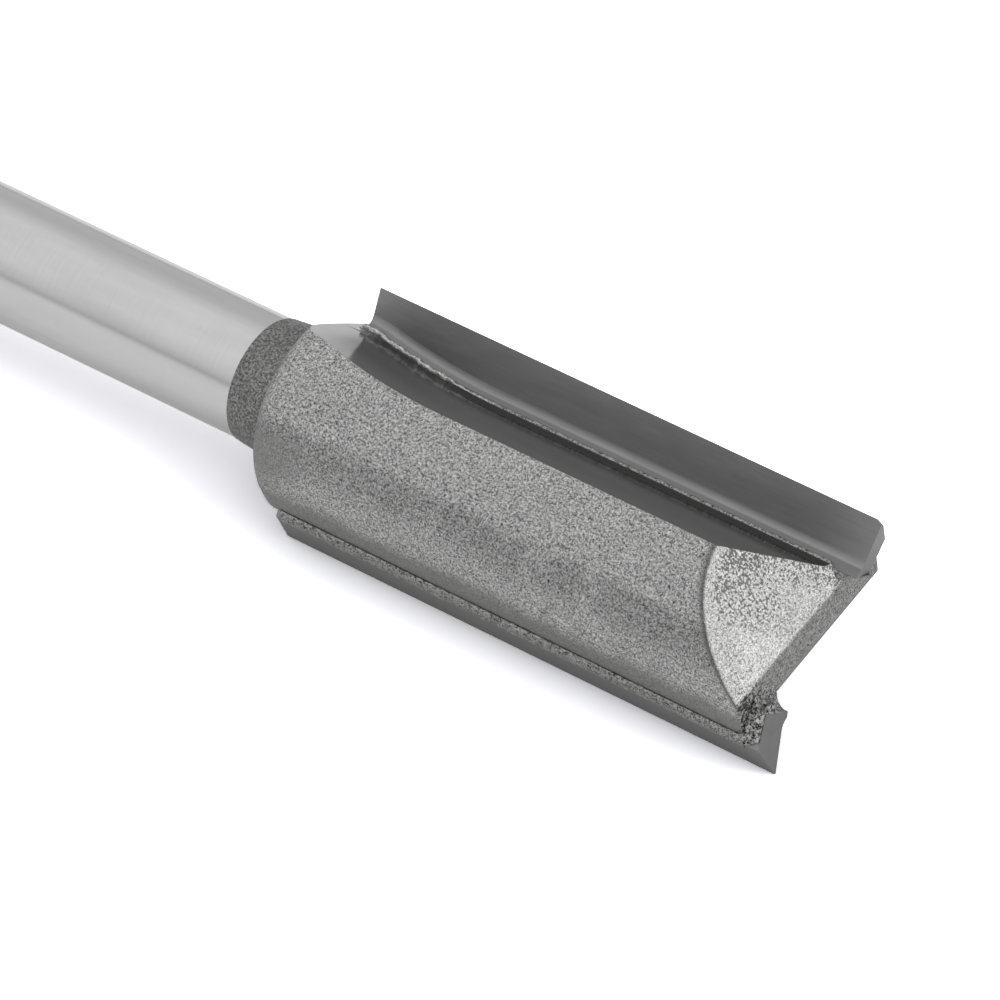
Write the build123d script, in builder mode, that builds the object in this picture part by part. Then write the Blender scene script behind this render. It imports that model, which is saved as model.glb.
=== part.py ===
"""Straight router bit with two brazed carbide tips, lying as it comes to rest.

The bit's axis runs along X, with the cutting end at +X. The origin is under the middle
of the bit, on the surface that it lies on. Stations are distances along the axis from
the front end of the ground shank, positive toward the cutting end. Angles across the
bit are in degrees from the upper tip's cutting edge. The lower tip and its flute are
the upper ones turned half round.
"""
from math import acos, asin, atan2, cos, degrees, pi, radians, sin, sqrt, tan
import os

from build123d import *

# Shank and neck
shank_diameter = 6.35
shank_length = 31.75
shank_chamfer = 0.6
neck_root_diameter = 6.45
neck_diameter = 6.7
neck_flare_length = 1.2
neck_length = 2.75
neck_fillet = 0.6

# Body
body_diameter = 11.1
body_length = 29.2
shoulder_round = 1.5

# Flutes: a flat floor that rises at the rear, on the radius of the wheel that cut it,
# and rounds over to a higher flat through the shoulder
half_web = 3.25
floor_angle = 8.7
gullet_radius = 0.8
wheel_radius = 38.0
run_out_start = 12.0
run_out_blend_radius = 14.0
rear_flat_height = 4.04

# End of the body: a flat land over the web, between two facets that fall away from it
web_land_half_width = 0.95
facet_slope = 39.5
facet_angle = 54.0

# Carbide tips
cutting_diameter = 12.7
hook_angle = 16.0
clearance_angle = 25.0
tip_thickness = 1.64
tip_face_stock = 0.25
tip_overhang = 1.2
end_relief_angle = 10.0
end_dish_angle = 7.0
upper_tip_length = 29.4
lower_tip_length = 28.85
upper_corner_break = 0.28
lower_corner_break = 0.06

# Silver solder
braze_gap = 0.12
bead_on_tip = 0.43
bead_on_body = 0.35
bead_crown = 0.14
bead_end_gap = 0.3
nose_fillet_run = 1.2
upper_nose_width = 0.25
lower_nose_width = 0.6
foot_fillet_run = 0.75
upper_foot_fillet_depth = 0.4
lower_foot_fillet_depth = 0.6
rear_fillet_run = 0.75
rear_fillet_rise = 0.5
fillet_hollow = 0.15

# Derived sizes
shank_radius = shank_diameter / 2
neck_root_radius = neck_root_diameter / 2
neck_radius = neck_diameter / 2
body_radius = body_diameter / 2
cutting_radius = cutting_diameter / 2
body_end = neck_length + body_length
shoulder_front = neck_length + shoulder_round
tip_front = body_end + tip_overhang
overall_length = shank_length + tip_front
shank_front_x = overall_length / 2 - tip_front
past_all = 2 * cutting_radius

# A flute is drawn in its own axes: height above the bit's axis, and distance along its
# floor, from below the bit's axis toward the heel
edge_height = cutting_radius * cos(radians(floor_angle))
edge_along = -cutting_radius * sin(radians(floor_angle))
face_lean = radians(hook_angle - floor_angle)
face_depth = (edge_height - half_web) / cos(face_lean)
gullet_along = edge_along - face_depth * sin(face_lean)
tip_back_along = edge_along - tip_thickness
tip_front_top = edge_along + tip_face_stock
tip_front_foot = gullet_along + tip_face_stock
seat_floor_height = half_web - braze_gap
seat_back_along = tip_back_along - braze_gap
seat_front_along = tip_front_foot + braze_gap
seat_rear = tip_front - max(upper_tip_length, lower_tip_length) - braze_gap
wheel_top = 2 * face_depth
rear_flat_depth = (rear_flat_height - half_web) / cos(face_lean)
blend_reach = wheel_radius + run_out_blend_radius
blend_rear = run_out_start - sqrt(blend_reach**2 - (blend_reach - rear_flat_depth) ** 2)
blend_front = blend_rear + (run_out_start - blend_rear) * run_out_blend_radius / blend_reach
land_fall = radians(clearance_angle + floor_angle)
land_back_height = edge_height - tip_thickness * tan(land_fall)


def floor_rise(station):
    """How far a flute's floor has risen along the tip's face, from its level front."""
    if station > blend_front:
        reach = max(run_out_start - station, 0)
        return wheel_radius - sqrt(wheel_radius**2 - reach**2)
    reach = max(station - blend_rear, 0)
    return rear_flat_depth - run_out_blend_radius + sqrt(run_out_blend_radius**2 - reach**2)


def heel_turn(station):
    """Turn of the bit that sets a cutting edge and the heel at this station on the floor."""
    shoulder_reach = max(shoulder_front - station, 0)
    radius = body_radius - shoulder_round + sqrt(shoulder_round**2 - shoulder_reach**2)
    heel_height = half_web + floor_rise(station) * cos(face_lean)
    heel_angle = radians(floor_angle) + acos(heel_height / radius)
    return atan2(cutting_radius - radius * cos(heel_angle), radius * sin(heel_angle))


# At rest the bit lies on one cutting edge and on the heel of the other flute, which
# stands furthest out near the front of the rounded shoulder
heel_step = shoulder_round / 100
rest_turn = min(heel_turn(shoulder_front + heel_step * step) for step in range(-50, 50))
axis_height = cutting_radius * cos(rest_turn)


def outward(angle):
    """Direction square to the axis, at an angle from the upper cutting edge."""
    from_level = pi / 2 - rest_turn + radians(angle)
    return Vector(0, cos(from_level), sin(from_level))


def on_axis(station):
    return Vector(shank_front_x + station, 0, axis_height)


def lengthwise(angle):
    """Plane that holds the axis: its x is the station, and its y points out at the angle."""
    return Plane(origin=on_axis(0), x_dir=(1, 0, 0), z_dir=outward(angle + 90))


def flute_section(station, turn):
    """Plane across the bit in a flute's axes: its x is the height, its y runs along the floor."""
    return Plane(origin=on_axis(station), x_dir=outward(turn + floor_angle), z_dir=(1, 0, 0))


# Flutes, as the space that the wheel sweeps: its side cuts the tip's face, its rim the
# floor, and its rounded corner the gullet. It leaves the work along its own radius.
flutes = []
for turn in (0, 180):
    corner = flute_section(0, turn).from_local_coords(Vector(half_web, gullet_along, 0))
    face_plane = Plane(corner, x_dir=(1, 0, 0), z_dir=outward(turn + hook_angle + 90))
    with BuildPart() as flute:
        with BuildSketch(face_plane):
            with BuildLine():
                Polyline(
                    (run_out_start, 0),
                    (tip_front + tip_overhang, 0),
                    (tip_front + tip_overhang, wheel_top),
                    (0, wheel_top),
                    (0, rear_flat_depth),
                    (blend_rear, rear_flat_depth),
                )
                blend_end = (blend_front, floor_rise(blend_front))
                RadiusArc((blend_rear, rear_flat_depth), blend_end, run_out_blend_radius)
                RadiusArc(blend_end, (run_out_start, 0), -wheel_radius)
            make_face()
        extrude(amount=past_all, dir=outward(turn + floor_angle + 90))
        face_side = flute.faces().sort_by(lambda f: face_plane.to_local_coords(f.center()).Z)[0]
        gullet = face_side.edges().sort_by(lambda e: face_plane.to_local_coords(e.center()).Y)[:4]
        fillet(gullet, radius=gullet_radius)
    flutes.append(flute.part)

# Seats for the tips: channels along the back of each flute, a little below its floor. Behind
# them a flat is milled right across the shoulder.
seats = []
rear_flats = []
seat_top_front = seat_front_along + past_all * tan(face_lean)
for turn in (0, 180):
    with BuildPart() as seat:
        with BuildSketch(flute_section(seat_rear, turn)):
            with BuildLine():
                Polyline(
                    (seat_floor_height, seat_back_along),
                    (seat_floor_height, seat_front_along),
                    (seat_floor_height + past_all, seat_top_front),
                    (seat_floor_height + past_all, seat_back_along),
                    close=True,
                )
            make_face()
        extrude(amount=tip_front - seat_rear)
    seats.append(seat.part)
    with BuildPart() as rear_flat:
        with BuildSketch(flute_section(0, turn)):
            with Locations((rear_flat_height, 0)):
                Rectangle(past_all, 2 * past_all, align=(Align.MIN, Align.CENTER))
        extrude(amount=seat_rear)
    rear_flats.append(rear_flat.part)

# One piece of steel: ground shank, and blasted neck and body, turned and then milled
with BuildPart() as shank_and_body:
    with BuildSketch(lengthwise(0)):
        with BuildLine():
            shoulder_foot = (neck_length, body_radius - shoulder_round)
            neck_foot = (neck_length, neck_radius + neck_fillet)
            neck_end = (neck_length - neck_fillet, neck_radius)
            Polyline(
                neck_end,
                (neck_flare_length, neck_radius),
                (0, neck_root_radius),
                (0, shank_radius),
                (-shank_length + shank_chamfer, shank_radius),
                (-shank_length, shank_radius - shank_chamfer),
                (-shank_length, 0),
                (body_end, 0),
                (body_end, body_radius),
                (shoulder_front, body_radius),
            )
            RadiusArc((shoulder_front, body_radius), shoulder_foot, -shoulder_round)
            Line(shoulder_foot, neck_foot)
            RadiusArc(neck_foot, neck_end, neck_fillet)
        make_face()
    revolve(axis=Axis(on_axis(0), (1, 0, 0)))

    facet_reach = 2 * body_radius
    for turn in (0, 180):
        with BuildSketch(lengthwise(turn + facet_angle)):
            with BuildLine():
                Polyline(
                    (body_end, web_land_half_width),
                    (
                        body_end - facet_reach * tan(radians(facet_slope)),
                        web_land_half_width + facet_reach,
                    ),
                    (tip_front, web_land_half_width + facet_reach),
                    (tip_front, web_land_half_width),
                    close=True,
                )
            make_face()
        extrude(amount=past_all, both=True, mode=Mode.SUBTRACT)
    turned = shank_and_body.part

    for cut in seats + rear_flats + flutes:
        add(cut, mode=Mode.SUBTRACT)

os.makedirs("parts", exist_ok=True)
shank_and_body.part.label = "shank_and_body"
export_step(shank_and_body.part, "parts/shank_and_body.step")

# Each carbide tip stands in its seat, and each is held by its own run of silver solder
bead_start = (
    land_back_height + bead_on_tip * sin(land_fall),
    tip_back_along + bead_on_tip * cos(land_fall),
)
toe_angle = asin(-seat_back_along / body_radius) + bead_on_body / body_radius
bead_toe = (body_radius * cos(toe_angle), -body_radius * sin(toe_angle))
sides = (
    ("upper", 0, upper_tip_length, upper_corner_break),
    ("lower", 180, lower_tip_length, lower_corner_break),
)
nose_widths = {"upper": upper_nose_width, "lower": lower_nose_width}
foot_fillet_depths = {"upper": upper_foot_fillet_depth, "lower": lower_foot_fillet_depth}
for (side, turn, tip_length, corner_break), seat, flute in zip(sides, seats, flutes):
    tip_rear = tip_front - tip_length
    nose_width = nose_widths[side]
    height = outward(turn + floor_angle)
    floorward = outward(turn + floor_angle + 90)
    with BuildPart() as tip:
        with BuildSketch(flute_section(tip_rear, turn)):
            with BuildLine():
                Polyline(
                    (half_web, tip_front_foot),
                    (edge_height + tip_face_stock * tan(land_fall), tip_front_top),
                    (land_back_height, tip_back_along),
                    (half_web, tip_back_along),
                    close=True,
                )
            make_face()
        extrude(amount=tip_length + tip_overhang)
        add(flute, mode=Mode.SUBTRACT)
        end_corner = on_axis(tip_front) + outward(turn) * cutting_radius
        end_normal = (
            Vector(1, 0, 0)
            - height * tan(radians(end_dish_angle))
            - floorward * tan(radians(end_relief_angle))
        )
        end_plane = Plane(end_corner, z_dir=end_normal)
        split(bisect_by=end_plane, keep=Keep.BOTTOM)
        break_origin = end_corner - Vector(corner_break, 0, 0)
        break_plane = Plane(break_origin, z_dir=Vector(1, 0, 0) + outward(turn))
        split(bisect_by=break_plane, keep=Keep.BOTTOM)
    tip.part.label = f"{side}_carbide_tip"
    export_step(tip.part, f"parts/{side}_carbide_tip.step")

    # Nose of solder where the tip stands past the body's end: a fillet up the tip's back,
    # and a hollow one along its foot
    nose_rear = body_end - nose_fillet_run
    nose_base = on_axis(body_end) + height * half_web
    with BuildPart() as nose:
        with BuildSketch(Plane(nose_base, x_dir=(1, 0, 0), z_dir=height * -1)):
            with BuildLine():
                Polyline(
                    (-nose_fillet_run, tip_back_along),
                    (nose_fillet_run, tip_back_along),
                    (-nose_fillet_run, tip_back_along - 2 * nose_width),
                    close=True,
                )
            make_face()
        extrude(amount=half_web - land_back_height)
        with BuildSketch(flute_section(nose_rear, turn)):
            Circle(body_radius)
        extrude(amount=2 * nose_fillet_run, mode=Mode.INTERSECT)
        split(bisect_by=end_plane, keep=Keep.BOTTOM)
        with BuildSketch(lengthwise(turn + floor_angle).offset(tip_back_along - nose_width)):
            with BuildLine():
                foot_fillet_front = (body_end + foot_fillet_run, half_web)
                foot_fillet_end = (body_end, half_web - foot_fillet_depths[side])
                SagittaArc(foot_fillet_front, foot_fillet_end, -fillet_hollow)
                Polyline(
                    foot_fillet_end,
                    (nose_rear, half_web - foot_fillet_depths[side]),
                    (nose_rear, half_web + braze_gap),
                    (body_end + foot_fillet_run, half_web + braze_gap),
                    foot_fillet_front,
                )
            make_face()
        extrude(amount=tip_front_foot - tip_back_along + nose_width)

    with BuildPart() as braze:
        add(seat)
        # Behind the tip the solder only fills the seat up to the rear flat, and climbs the
        # tip's rear end a little
        with BuildSketch(flute_section(0, turn)):
            with Locations((rear_flat_height, 0)):
                Rectangle(past_all, 2 * past_all, align=(Align.MIN, Align.CENTER))
        extrude(amount=tip_rear, mode=Mode.SUBTRACT)
        with BuildSketch(lengthwise(turn + floor_angle).offset(seat_back_along)):
            with BuildLine():
                rear_fillet_foot = (tip_rear - rear_fillet_run, rear_flat_height)
                rear_fillet_top = (tip_rear, rear_flat_height + rear_fillet_rise)
                SagittaArc(rear_fillet_foot, rear_fillet_top, -fillet_hollow)
                Polyline(
                    rear_fillet_top,
                    (tip_rear + braze_gap, rear_flat_height + rear_fillet_rise),
                    (tip_rear + braze_gap, half_web),
                    (tip_rear - rear_fillet_run, half_web),
                    rear_fillet_foot,
                )
            make_face()
        extrude(amount=tip_thickness)
        add(turned, mode=Mode.INTERSECT)
        # Bead over the seam between the tip's land and the body
        bead_rear = max(tip_rear + bead_end_gap, shoulder_front)
        with BuildSketch(flute_section(bead_rear, turn)):
            with BuildLine():
                SagittaArc(bead_start, bead_toe, bead_crown)
                Polyline(bead_toe, (half_web, seat_back_along), bead_start)
            make_face()
        extrude(amount=body_end - bead_rear)
        add(nose.part)
        add(flute, mode=Mode.SUBTRACT)
        add(tip.part, mode=Mode.SUBTRACT)
        add(shank_and_body.part, mode=Mode.SUBTRACT)
    braze.part.label = f"{side}_braze"
    export_step(braze.part, f"parts/{side}_braze.step")

print(f"overall length {overall_length:.2f}, axis height {axis_height:.3f}")
print(f"turned at rest by {degrees(rest_turn):.2f} degrees, shank's front at x {shank_front_x:.2f}")
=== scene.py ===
"""Straight router bit with two brazed carbide tips, lying as it comes to rest."""
import math
import random

import bmesh
import bpy
from mathutils import Matrix, Vector, noise


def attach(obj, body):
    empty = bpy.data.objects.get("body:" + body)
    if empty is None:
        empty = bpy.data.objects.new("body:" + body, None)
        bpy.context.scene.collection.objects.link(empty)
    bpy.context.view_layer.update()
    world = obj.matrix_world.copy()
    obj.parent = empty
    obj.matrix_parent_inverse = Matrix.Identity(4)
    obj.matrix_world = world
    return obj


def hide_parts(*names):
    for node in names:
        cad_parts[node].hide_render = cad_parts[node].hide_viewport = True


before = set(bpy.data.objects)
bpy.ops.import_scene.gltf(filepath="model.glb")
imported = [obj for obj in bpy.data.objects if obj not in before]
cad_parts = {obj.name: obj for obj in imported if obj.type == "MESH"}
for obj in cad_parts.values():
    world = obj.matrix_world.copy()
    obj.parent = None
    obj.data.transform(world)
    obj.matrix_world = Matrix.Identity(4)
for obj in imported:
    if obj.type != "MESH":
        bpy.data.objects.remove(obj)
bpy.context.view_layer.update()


# Shank and body
# One piece of steel. The shank is ground bright to fit a collet, the flutes are ground by
# the wheel that cut them, and the rest was blasted with grit after the tips were brazed.

class Finish:
    """One socket of a material's nodes. Sums and products of sockets add Math nodes."""

    def __init__(self, tree, socket=None):
        self.tree = tree
        self.socket = socket

    def node(self, kind, settings=None, inputs=None, output=0):
        """Adds a node with its settings made first, and then its sockets' values or links."""
        made = self.tree.nodes.new(kind)
        for name, value in (settings or {}).items():
            setattr(made, name, value)
        for name, value in (inputs or {}).items():
            if isinstance(value, Finish):
                self.tree.links.new(value.socket, made.inputs[name])
            else:
                made.inputs[name].default_value = value
        return Finish(self.tree, made.outputs[output] if made.outputs else None)

    def math(self, operation, *others):
        """A Math node whose first value is this one."""
        values = dict(enumerate((self, *others)))
        return self.node("ShaderNodeMath", {"operation": operation}, values)

    def __add__(self, other):
        return self.math("ADD", other)

    __radd__ = __add__

    def __sub__(self, other):
        return self.math("SUBTRACT", other)

    def __rsub__(self, other):
        return self.node("ShaderNodeMath", {"operation": "SUBTRACT"}, {0: other, 1: self})

    def __mul__(self, other):
        return self.math("MULTIPLY", other)

    __rmul__ = __mul__

    def __abs__(self):
        return self.math("ABSOLUTE")

    def parts(self):
        """The three parts of a vector."""
        first = self.node("ShaderNodeSeparateXYZ", {}, {0: self})
        return [Finish(self.tree, socket) for socket in first.socket.node.outputs]

    def rise(self, start, end):
        """0 at start, 1 at end, and smooth between them. It falls where end is lower."""
        return self.node(
            "ShaderNodeMapRange",
            {"interpolation_type": "SMOOTHSTEP"},
            {"Value": self, "From Min": start, "From Max": end},
        )

    def blend(self, first, second):
        """Colour between two colours, by this factor. Mix has several sockets of one name, so
        those for colours go by number."""
        return self.node(
            "ShaderNodeMix", {"data_type": "RGBA"}, {0: self, 6: first, 7: second}, output=2
        )

    def grain(self, place, size=1.0, detail=2.0, roughness=0.5):
        """Noise from 0 to 1 whose features are about size metres across."""
        return self.node(
            "ShaderNodeTexNoise",
            {"noise_dimensions": "3D"},
            {"Vector": place, "Scale": 1.0 / size, "Detail": detail, "Roughness": roughness},
        )

    def stretched(self, place, along_x, across):
        """Place scaled so that a grain made on it runs along the bit, or round it."""
        return self.node(
            "ShaderNodeVectorMath",
            {"operation": "MULTIPLY"},
            {0: place, 1: (1.0 / along_x, 1.0 / across, 1.0 / across)},
        )

    def metal(self, colour, roughness, relief, depth):
        """Ends the nodes of a bare metal, whose relief from 0 to 1 is depth metres high."""
        normal = self.node(
            "ShaderNodeBump", {}, {"Height": relief, "Distance": depth, "Strength": 1.0}
        )
        shader = self.node(
            "ShaderNodeBsdfPrincipled",
            {},
            {"Base Color": colour, "Metallic": 1.0, "Roughness": roughness, "Normal": normal},
        )
        self.node("ShaderNodeOutputMaterial", {}, {0: shader})


def bare_material(name):
    """A material without nodes, and the start of its finish."""
    made = bpy.data.materials.new(name)
    made.use_nodes = True
    made.node_tree.nodes.clear()
    return made, Finish(made.node_tree)


def grey(level, blue=None):
    """A grey, or one whose blue is a little off."""
    return (level, level, level if blue is None else blue, 1.0)


# The bit lies along X, and both flutes are the same shape, half a turn apart.
SHANK_FRONT = -0.0007
AXIS_HEIGHT = 0.005257
FLOOR_TURN = math.radians(64.575)
FLOOR_UP = Vector((0, math.cos(FLOOR_TURN), math.sin(FLOOR_TURN)))
FLOOR_OUT = Vector((0, -math.sin(FLOOR_TURN), math.cos(FLOOR_TURN)))


def flute_axes(tree):
    """Where a point is on the bit: its place, the station from the shank's front, and in its
    own flute's axes the height above the bit's axis and the way along the floor to the heel.
    Side is 1 in the upper flute and -1 in the lower one."""
    place = tree.node("ShaderNodeTexCoord", output="Object")
    x, y, z = place.parts()
    rise = z - AXIS_HEIGHT
    height = y * FLOOR_UP.y + rise * FLOOR_UP.z
    along = y * FLOOR_OUT.y + rise * FLOOR_OUT.z
    side = height.math("SIGN")
    return place, x - SHANK_FRONT, abs(height), along * side, side


NECK_LENGTH = 0.00275
BODY_RADIUS = 0.00555
BODY_END = 0.03195
FACET_DEPTH = 0.025258
FACET_LEAN = (0.7716, 0.4497)
STEEL_RELIEF = 0.00005

steel, tree = bare_material("steel")
place, station, height, along, side = flute_axes(tree)
radius = (height * height + along * along).math("SQRT")
facing_x, facing_y, facing_z = tree.node("ShaderNodeNewGeometry", output="Normal").parts()
facing_floor = abs(facing_y * FLOOR_UP.y + facing_z * FLOOR_UP.z)
skew = height + along
facet_depth = station * FACET_LEAN[0] + abs(skew) * FACET_LEAN[1]

on_shank = station.rise(0.00002, -0.00002)
on_floor = (
    facing_floor.rise(0.72, 0.76)
    * radius.rise(BODY_RADIUS - 0.00002, BODY_RADIUS - 0.00006)
    * station.rise(NECK_LENGTH, NECK_LENGTH + 0.00005)
)
on_end = station.rise(BODY_END - 0.008, BODY_END - 0.0075) * facing_x.rise(0.4, 0.5)
on_web = on_end * facing_x.rise(0.93, 0.96)
on_facet = on_end - on_web
unground = (1.0 - on_shank) * (1.0 - on_floor)

fine = tree.grain(place, 0.000045, detail=1.0, roughness=0.6)
coarse = tree.grain(place, 0.00012)
patches = tree.grain(place, 0.0022, detail=3.0, roughness=0.6)
speckle = (fine * 0.6 + coarse * 0.4).rise(0.32, 0.68)
rings = tree.grain(tree.stretched(place, 0.00003, 0.004), detail=3.0)
lines = tree.grain(tree.stretched(place, 0.006, 0.00008), detail=3.0)

# The blast leaves a bright and dark speckle. It is rubbed smoother behind each bead and at
# the shoulder, and a painted dark reflection runs as a streak along the back.
behind_bead = along.rise(-0.0047, -0.0034) * along.rise(0.0, -0.001)
at_shoulder = station.rise(0.0075, 0.004) * along.rise(-0.004, -0.005)
at_shoulder = at_shoulder * height.rise(0.0, 0.0015)
worn = behind_bead + at_shoulder * 0.8
worn = (worn + (patches - 0.4) * 0.9).rise(0.1, 0.9)
# Painted dark reflection: a streak along the back is blended toward near black.
painted_reflection_streak = height.rise(-0.0003, 0.0006) * height.rise(0.0030, 0.0012)
painted_reflection_streak = painted_reflection_streak * along.rise(-0.0047, -0.0051) * patches.rise(0.3, 0.5)
blasted = speckle.blend(grey(0.01), grey(0.76, 0.755))
blasted = (painted_reflection_streak * 0.28).blend(blasted, grey(0.02))
colour = worn.blend(blasted, speckle.blend(grey(0.14), grey(0.36, 0.355)))

# The neck is darker, and a thin line of painted shade runs round the end facets.
at_neck = station.rise(0.0036, 0.0026) * (patches.rise(0.75, 0.45) * 0.3 + 0.7)
neck = (coarse * 0.5 + fine * 0.5).rise(0.40, 0.66).blend(grey(0.09), grey(0.38, 0.375))
colour = at_neck.blend(colour, neck)
# Painted shade: the body is darkened in a thin band along the facets' edge.
facet_edge_shade = (facet_depth + coarse * 0.0004).rise(FACET_DEPTH - 0.0001, FACET_DEPTH + 0.00015)
colour = (facet_edge_shade * 0.65).blend(colour, grey(0.06))

# The end facets have dark pits, which lie closer toward the flute, and end in a ragged
# border. Their blast is painted brighter than the body's, as a painted highlight of the lamp.
sugar = tree.grain(place, 0.00012)
pitted = along.rise(0.0014, 0.0036) * height.rise(-0.0004, 0.0016)
pitted = pitted + height.rise(0.002, 0.0032)
pitted = (pitted * 0.8 + patches * 0.5) * radius.rise(0.0054, 0.0049)
pits = (pitted * 0.09 - sugar).rise(-0.42, -0.34) * pitted.rise(0.1, 0.5)
# Painted highlight: the facets' speckle runs lighter than the body's blast.
highlit_facet = (sugar * 0.35 + fine * 0.65).rise(0.31, 0.69).blend(grey(0.13), grey(0.86, 0.85))
highlit_facet = (pits * 0.85).blend(highlit_facet, grey(0.12))
border = (radius + sugar * 0.0004).rise(BODY_RADIUS + 0.0002, BODY_RADIUS + 0.0001)
colour = on_facet.blend(colour, border.blend(colour, highlit_facet))

# The web between them is dull and creeps over their edge. It has a smooth margin on one
# side, and a crust of burnt flux by the lower tip.
web = speckle.blend(grey(0.02), grey(0.5, 0.495))
margin = (skew * side + fine * 0.0001).rise(-0.00085, -0.00105)
web = margin.blend(web, speckle.blend(grey(0.20), grey(0.32)))
by_nose = height.rise(0.0018, 0.003) * along.rise(-0.0008, -0.0018) * side.rise(0.5, -0.5)
crust = (coarse * 0.6 + fine * 0.4).rise(0.42, 0.62).blend(grey(0.015), grey(0.6, 0.59))
web = by_nose.blend(web, crust)
crept = on_end * (abs(skew) - sugar * 0.0004).rise(0.00126, 0.00116)
colour = crept.math("MAXIMUM", on_web).blend(colour, web)

# The flutes' floors have fine lines from the wheel, and painted tip shadow toward the gullet.
ground = lines.rise(0.3, 0.7).blend(grey(0.27), grey(0.30))
painted_tip_shadow = along.rise(0.0042, 0.0010) * station.rise(0.0035, 0.0050)
# Painted shadow: the floor beside the tip is darkened toward near black.
ground = (painted_tip_shadow * 0.75).blend(ground, grey(0.06))
colour = on_floor.blend(colour, ground)

# The shank has grinding rings under a faint wiped film.
wiped = tree.grain(tree.stretched(place, 0.008, 0.0012), detail=4.0, roughness=0.6)
turned = (rings * 0.3 + wiped * 0.7).rise(0.3, 0.7).blend(grey(0.54), grey(0.60))
colour = on_shank.blend(colour, turned)

relief = unground * (fine * 0.6 + coarse * 0.4) * (1.0 - worn * 0.4)
relief = relief + on_shank * rings * 0.005 + on_floor * lines * 0.02
roughness = on_shank * 0.22 + on_floor * 0.15 + unground * (0.45 + speckle * 0.1)
tree.metal(colour, roughness, relief, STEEL_RELIEF)
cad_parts["shank_and_body"].material_slots[0].material = steel


# Carbide tips
# Two bars of cemented carbide, brazed in and then ground: the rake face along the flute, the
# land behind the edge, and the end. It is a dark grey metal with fine lines along the edge.

CARBIDE_RELIEF = 0.0000008

carbide, tree = bare_material("carbide")
place, station, height, along, side = flute_axes(tree)
facing_y, facing_z = tree.node("ShaderNodeNewGeometry", output="Normal").parts()[1:]
on_rake = abs(facing_y * FLOOR_OUT.y + facing_z * FLOOR_OUT.z).rise(0.9, 0.95)
lines = tree.grain(tree.stretched(place, 0.003, 0.00009), detail=3.0, roughness=0.6)
smears = tree.grain(tree.stretched(place, 0.0025, 0.0006), detail=4.0, roughness=0.6)
tone = (lines * 0.35 + smears * 0.65).rise(0.25, 0.75)
# Painted reflection: the rake is lighter along its inner part toward the gullet, and rougher.
inner_sheen_band = (height + smears * 0.0008).rise(0.0056, 0.0042) * station.rise(0.006, 0.013)
rake = tone.blend(grey(0.26), grey(0.31))
rake = inner_sheen_band.blend(rake, tone.blend(grey(0.29), grey(0.36)))
land = tone.blend(grey(0.19), grey(0.22))
roughness = 0.34 + smears * 0.12 + inner_sheen_band * 0.12
tree.metal(on_rake.blend(land, rake), roughness, lines, CARBIDE_RELIEF)
for name in ("upper_carbide_tip", "lower_carbide_tip"):
    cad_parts[name].material_slots[0].material = carbide


# Silver solder
# What holds each tip: it filled the seat, froze as a lumpy bead behind the tip's land, and
# crept up the tip's foot in the flute and round its back where it stands past the body.

SOLDER_RELIEF = 0.00004

solder, tree = bare_material("silver_solder")
place, station, height, along, side = flute_axes(tree)
fine = tree.grain(place, 0.00007, roughness=0.6)
coarse = tree.grain(place, 0.00018)
speckle = (fine * 0.65 + coarse * 0.35).rise(0.34, 0.66)
in_flute = along.rise(-0.0016, -0.0013) * station.rise(0.0125, 0.0105)
colour = speckle.blend(grey(0.03), grey(0.52, 0.51))
colour = in_flute.blend(colour, speckle.blend(grey(0.25), grey(0.72, 0.71)))
clumps = (coarse * 0.5 + fine * 0.5).rise(0.4, 0.62).blend(grey(0.02), grey(0.5, 0.495))
lower_end = station.rise(BODY_END - 0.0001, BODY_END + 0.0001) * side.rise(0.5, -0.5)
colour = lower_end.blend(colour, clumps)
upper_nose = station.rise(BODY_END, BODY_END + 0.0002) * side.rise(-0.5, 0.5)
colour = upper_nose.blend(colour, grey(0.22))
tree.metal(colour, 0.32 + speckle * 0.15, fine, SOLDER_RELIEF)

# The flute's floor in millimetres: level from one station on, and before that it rises as
# the wheel left it, up to a flat. The solder crept up the tip's foot along it.
WHEEL_RADIUS = 38
LEVEL_FROM = 12
FLAT_RISE = 0.79
FOOT_HEIGHT = 3.46
FOOT_ALONG = -1.0
RAKE_LEAN = 0.128
CREPT_FROM = 3.65
CREPT_TO = 10.2

# Lumps as the number of droplets, and their limits of station, height, along and size in
# millimetres.
REAR_LUMP = 9, ((3.45, 3.75), (3.98, 4.12), (-1.3, -1.1), (0.1, 0.13))
LOWER_NOSE = 16, ((31.95, 32.45), (3.3, 4.9), (-3.05, -2.65), (0.12, 0.22))
LOWER_FOOT = 14, ((32.0, 32.5), (2.9, 3.3), (-2.6, -1.9), (0.1, 0.18))

# The frozen skin in metres: its lumps' height, and the size and share of each kind.
BEAD_VOXEL = 0.000065
SKIN_HEIGHT = 0.00004
SKIN_LUMPS = ((0.0006, 0.6), (0.00022, 0.4))
UPPER_NOSE_SKIN = 0.2


def droplet(mesh, side, station, height, along, size):
    """Adds a ball of solder to melt in, placed in millimetres in the flute's axes."""
    middle = Vector((SHANK_FRONT + station / 1000, 0, AXIS_HEIGHT))
    middle += (FLOOR_UP * height + FLOOR_OUT * along) * side / 1000
    bmesh.ops.create_icosphere(
        mesh, subdivisions=2, radius=size / 1000, matrix=Matrix.Translation(middle)
    )


def lump(mesh, side, chance, count, limits):
    """Adds droplets at random within a lump's limits."""
    for ball in range(count):
        droplet(mesh, side, *(chance.uniform(*limit) for limit in limits))


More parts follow.
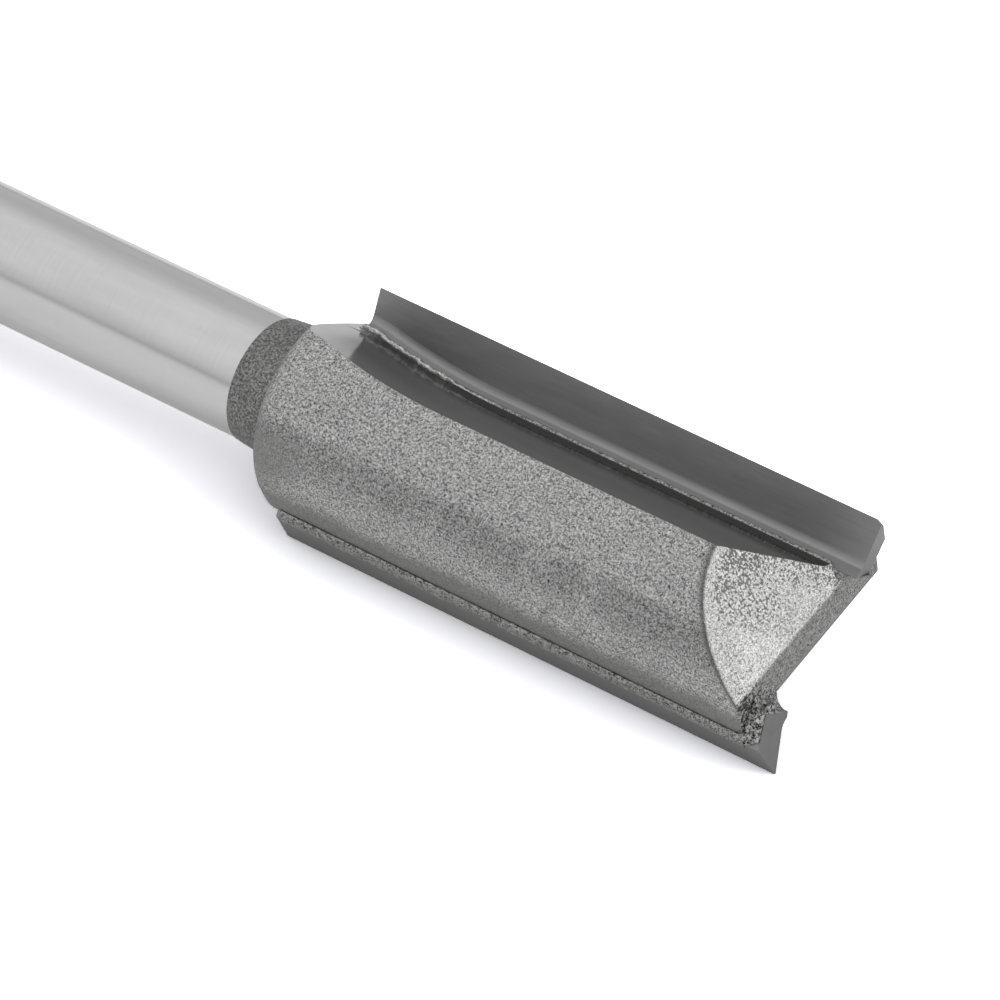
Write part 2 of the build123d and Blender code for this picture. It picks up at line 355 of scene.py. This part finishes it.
def tip_droplets(mesh, side):
    """Adds the droplets of one tip: up its foot in the flute, behind its rear end, at the
    bead's end, and round its nose."""
    chance = random.Random(11 + side)
    station = CREPT_FROM
    while station < CREPT_TO:
        rise = WHEEL_RADIUS - math.sqrt(WHEEL_RADIUS**2 - (LEVEL_FROM - station) ** 2)
        rise = min(rise, FLAT_RISE)
        height = FOOT_HEIGHT + rise + chance.uniform(-0.06, 0.06)
        along = FOOT_ALONG + RAKE_LEAN * rise + chance.uniform(-0.03, 0.03)
        size = chance.uniform(0.12, 0.17) * min(1.0, (CREPT_TO + 0.2 - station) / 1.5)
        droplet(mesh, side, station, height, along, size)
        station += chance.uniform(0.05, 0.12)
    lump(mesh, side, chance, *REAR_LUMP)
    for ball in range(5):
        height, along = chance.uniform(4.8, 5.0), chance.uniform(-2.85, -2.7)
        size = chance.uniform(0.16, 0.24) * (1.0 - 0.1 * ball)
        droplet(mesh, side, 31.9 + 0.13 * ball, height, along, size)
    if side > 0:
        for ball in range(12):
            droplet(mesh, side, 32.45, 3.45 + 0.09 * ball, -2.62, 0.1)
    else:
        lump(mesh, side, chance, *LOWER_NOSE)
        lump(mesh, side, chance, *LOWER_FOOT)


for name, side in (("upper", 1), ("lower", -1)):
    melt = bmesh.new()
    melt.from_mesh(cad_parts[name + "_braze"].data)
    tip_droplets(melt, side)
    melted = bpy.data.meshes.new(name + "_solder_melt")
    melt.to_mesh(melted)
    melt.free()
    bead = bpy.data.objects.new(name + "_solder_bead", melted)
    bpy.context.scene.collection.objects.link(bead)
    remesh = bead.modifiers.new("remesh", "REMESH")
    remesh.mode = "VOXEL"
    remesh.voxel_size = BEAD_VOXEL
    relax = bead.modifiers.new("relax", "SMOOTH")
    relax.factor = 0.5
    relax.iterations = 3
    frozen = bpy.data.meshes.new_from_object(
        bead.evaluated_get(bpy.context.evaluated_depsgraph_get())
    )
    bead.modifiers.clear()
    bead.data = frozen
    skin = []
    for vertex in frozen.vertices:
        swell = sum(share * noise.noise(vertex.co / size) for size, share in SKIN_LUMPS)
        if side > 0 and vertex.co.x > SHANK_FRONT + BODY_END:
            swell *= UPPER_NOSE_SKIN
        skin.append(vertex.co + vertex.normal * SKIN_HEIGHT * swell)
    for vertex, at in zip(frozen.vertices, skin):
        vertex.co = at
    for face in frozen.polygons:
        face.use_smooth = True
    frozen.materials.clear()
    frozen.materials.append(solder)
    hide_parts(name + "_braze")
    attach(bead, "root")


# Floor, lamps and camera
# A white table under a soft light tent with a big lamp above, seen from the cutting end. To
# the camera the table is overexposed, and the bit itself is lit by plain white paper.

TABLE_REACH = 1.5
PAPER = grey(0.97)
PAPER_EXPOSED = grey(1.78, 1.85)
TENT_PANEL = Vector((-0.521, -0.301, 0.799))

table_mesh = bpy.data.meshes.new("table")
corners = [(-1, -1), (1, -1), (1, 1), (-1, 1)]
table_mesh.from_pydata(
    [(x * TABLE_REACH, y * TABLE_REACH, 0) for x, y in corners], [], [(0, 1, 2, 3)]
)
table = bpy.data.objects.new("table", table_mesh)
bpy.context.scene.collection.objects.link(table)
paper, sheet = bare_material("white_paper")
camera_ray, glossy_ray, clear_ray = [
    sheet.node("ShaderNodeLightPath", output="Is " + kind + " Ray")
    for kind in ("Camera", "Glossy", "Transmission")
]
lit = sheet.node("ShaderNodeBsdfDiffuse", {}, {"Color": PAPER})
exposed = sheet.node("ShaderNodeBsdfDiffuse", {}, {"Color": PAPER_EXPOSED})
white = sheet.node("ShaderNodeEmission", {}, {"Color": grey(1), "Strength": 1.0})
mixed = sheet.node("ShaderNodeMixShader", {}, {0: camera_ray, 1: lit, 2: exposed})
mirrored = (glossy_ray + clear_ray) * 0.1
mixed = sheet.node("ShaderNodeMixShader", {}, {0: mirrored, 1: mixed, 2: white})
sheet.node("ShaderNodeOutputMaterial", {}, {0: mixed})
table_mesh.materials.append(paper)

world = bpy.data.worlds.new("light_tent")
bpy.context.scene.world = world
world.use_nodes = True
world.node_tree.nodes.clear()
tent = Finish(world.node_tree)
direction = tent.node("ShaderNodeTexCoord", output="Generated")
level = direction.parts()[2]
toward_panel = tent.node(
    "ShaderNodeVectorMath", {"operation": "DOT_PRODUCT"}, {0: direction, 1: TENT_PANEL}, "Value"
)
seam = 1.0 - abs(level).rise(0.14, 0.01) * 0.5
glow = (0.68 + toward_panel.rise(0.45, 0.97) * 0.3) * seam
glow = glow.math("MAXIMUM", tent.node("ShaderNodeLightPath", output="Is Camera Ray"))
dark = tent.node("ShaderNodeBackground", {}, {"Color": grey(1), "Strength": 0.0})
white = tent.node("ShaderNodeBackground", {}, {"Color": grey(1), "Strength": 1.0})
mixed = tent.node("ShaderNodeMixShader", {}, {0: glow, 1: dark, 2: white})
tent.node("ShaderNodeOutputWorld", {}, {0: mixed})

lamp_data = bpy.data.lights.new("softbox", "SUN")
lamp_data.energy = 1.05
lamp_data.angle = math.radians(45)
lamp = bpy.data.objects.new("softbox", lamp_data)
lamp.location = (0.5, 0.03, 0.33)
lamp.rotation_euler = lamp.location.to_track_quat("Z", "Y").to_euler()
bpy.context.scene.collection.objects.link(lamp)

camera_data = bpy.data.cameras.new("camera")
camera_data.lens = 270
camera_data.sensor_width = 36
camera_data.clip_start = 0.01
camera = bpy.data.objects.new("camera", camera_data)
eye = Vector((0.18290, -0.23817, 0.20470))
aim = Vector((0.01337, 0.0, 0.00476))
lean = math.radians(-3.706)
back = (eye - aim).normalized()
level_right = Vector((0, 0, 1)).cross(back).normalized()
level_up = back.cross(level_right)
up = level_up * math.cos(lean) + level_right * math.sin(lean)
right = up.cross(back)
camera.matrix_world = Matrix.Translation(eye) @ Matrix((right, up, back)).transposed().to_4x4()
bpy.context.scene.collection.objects.link(camera)
bpy.context.scene.camera = camera

bpy.context.scene.view_settings.view_transform = "Standard"
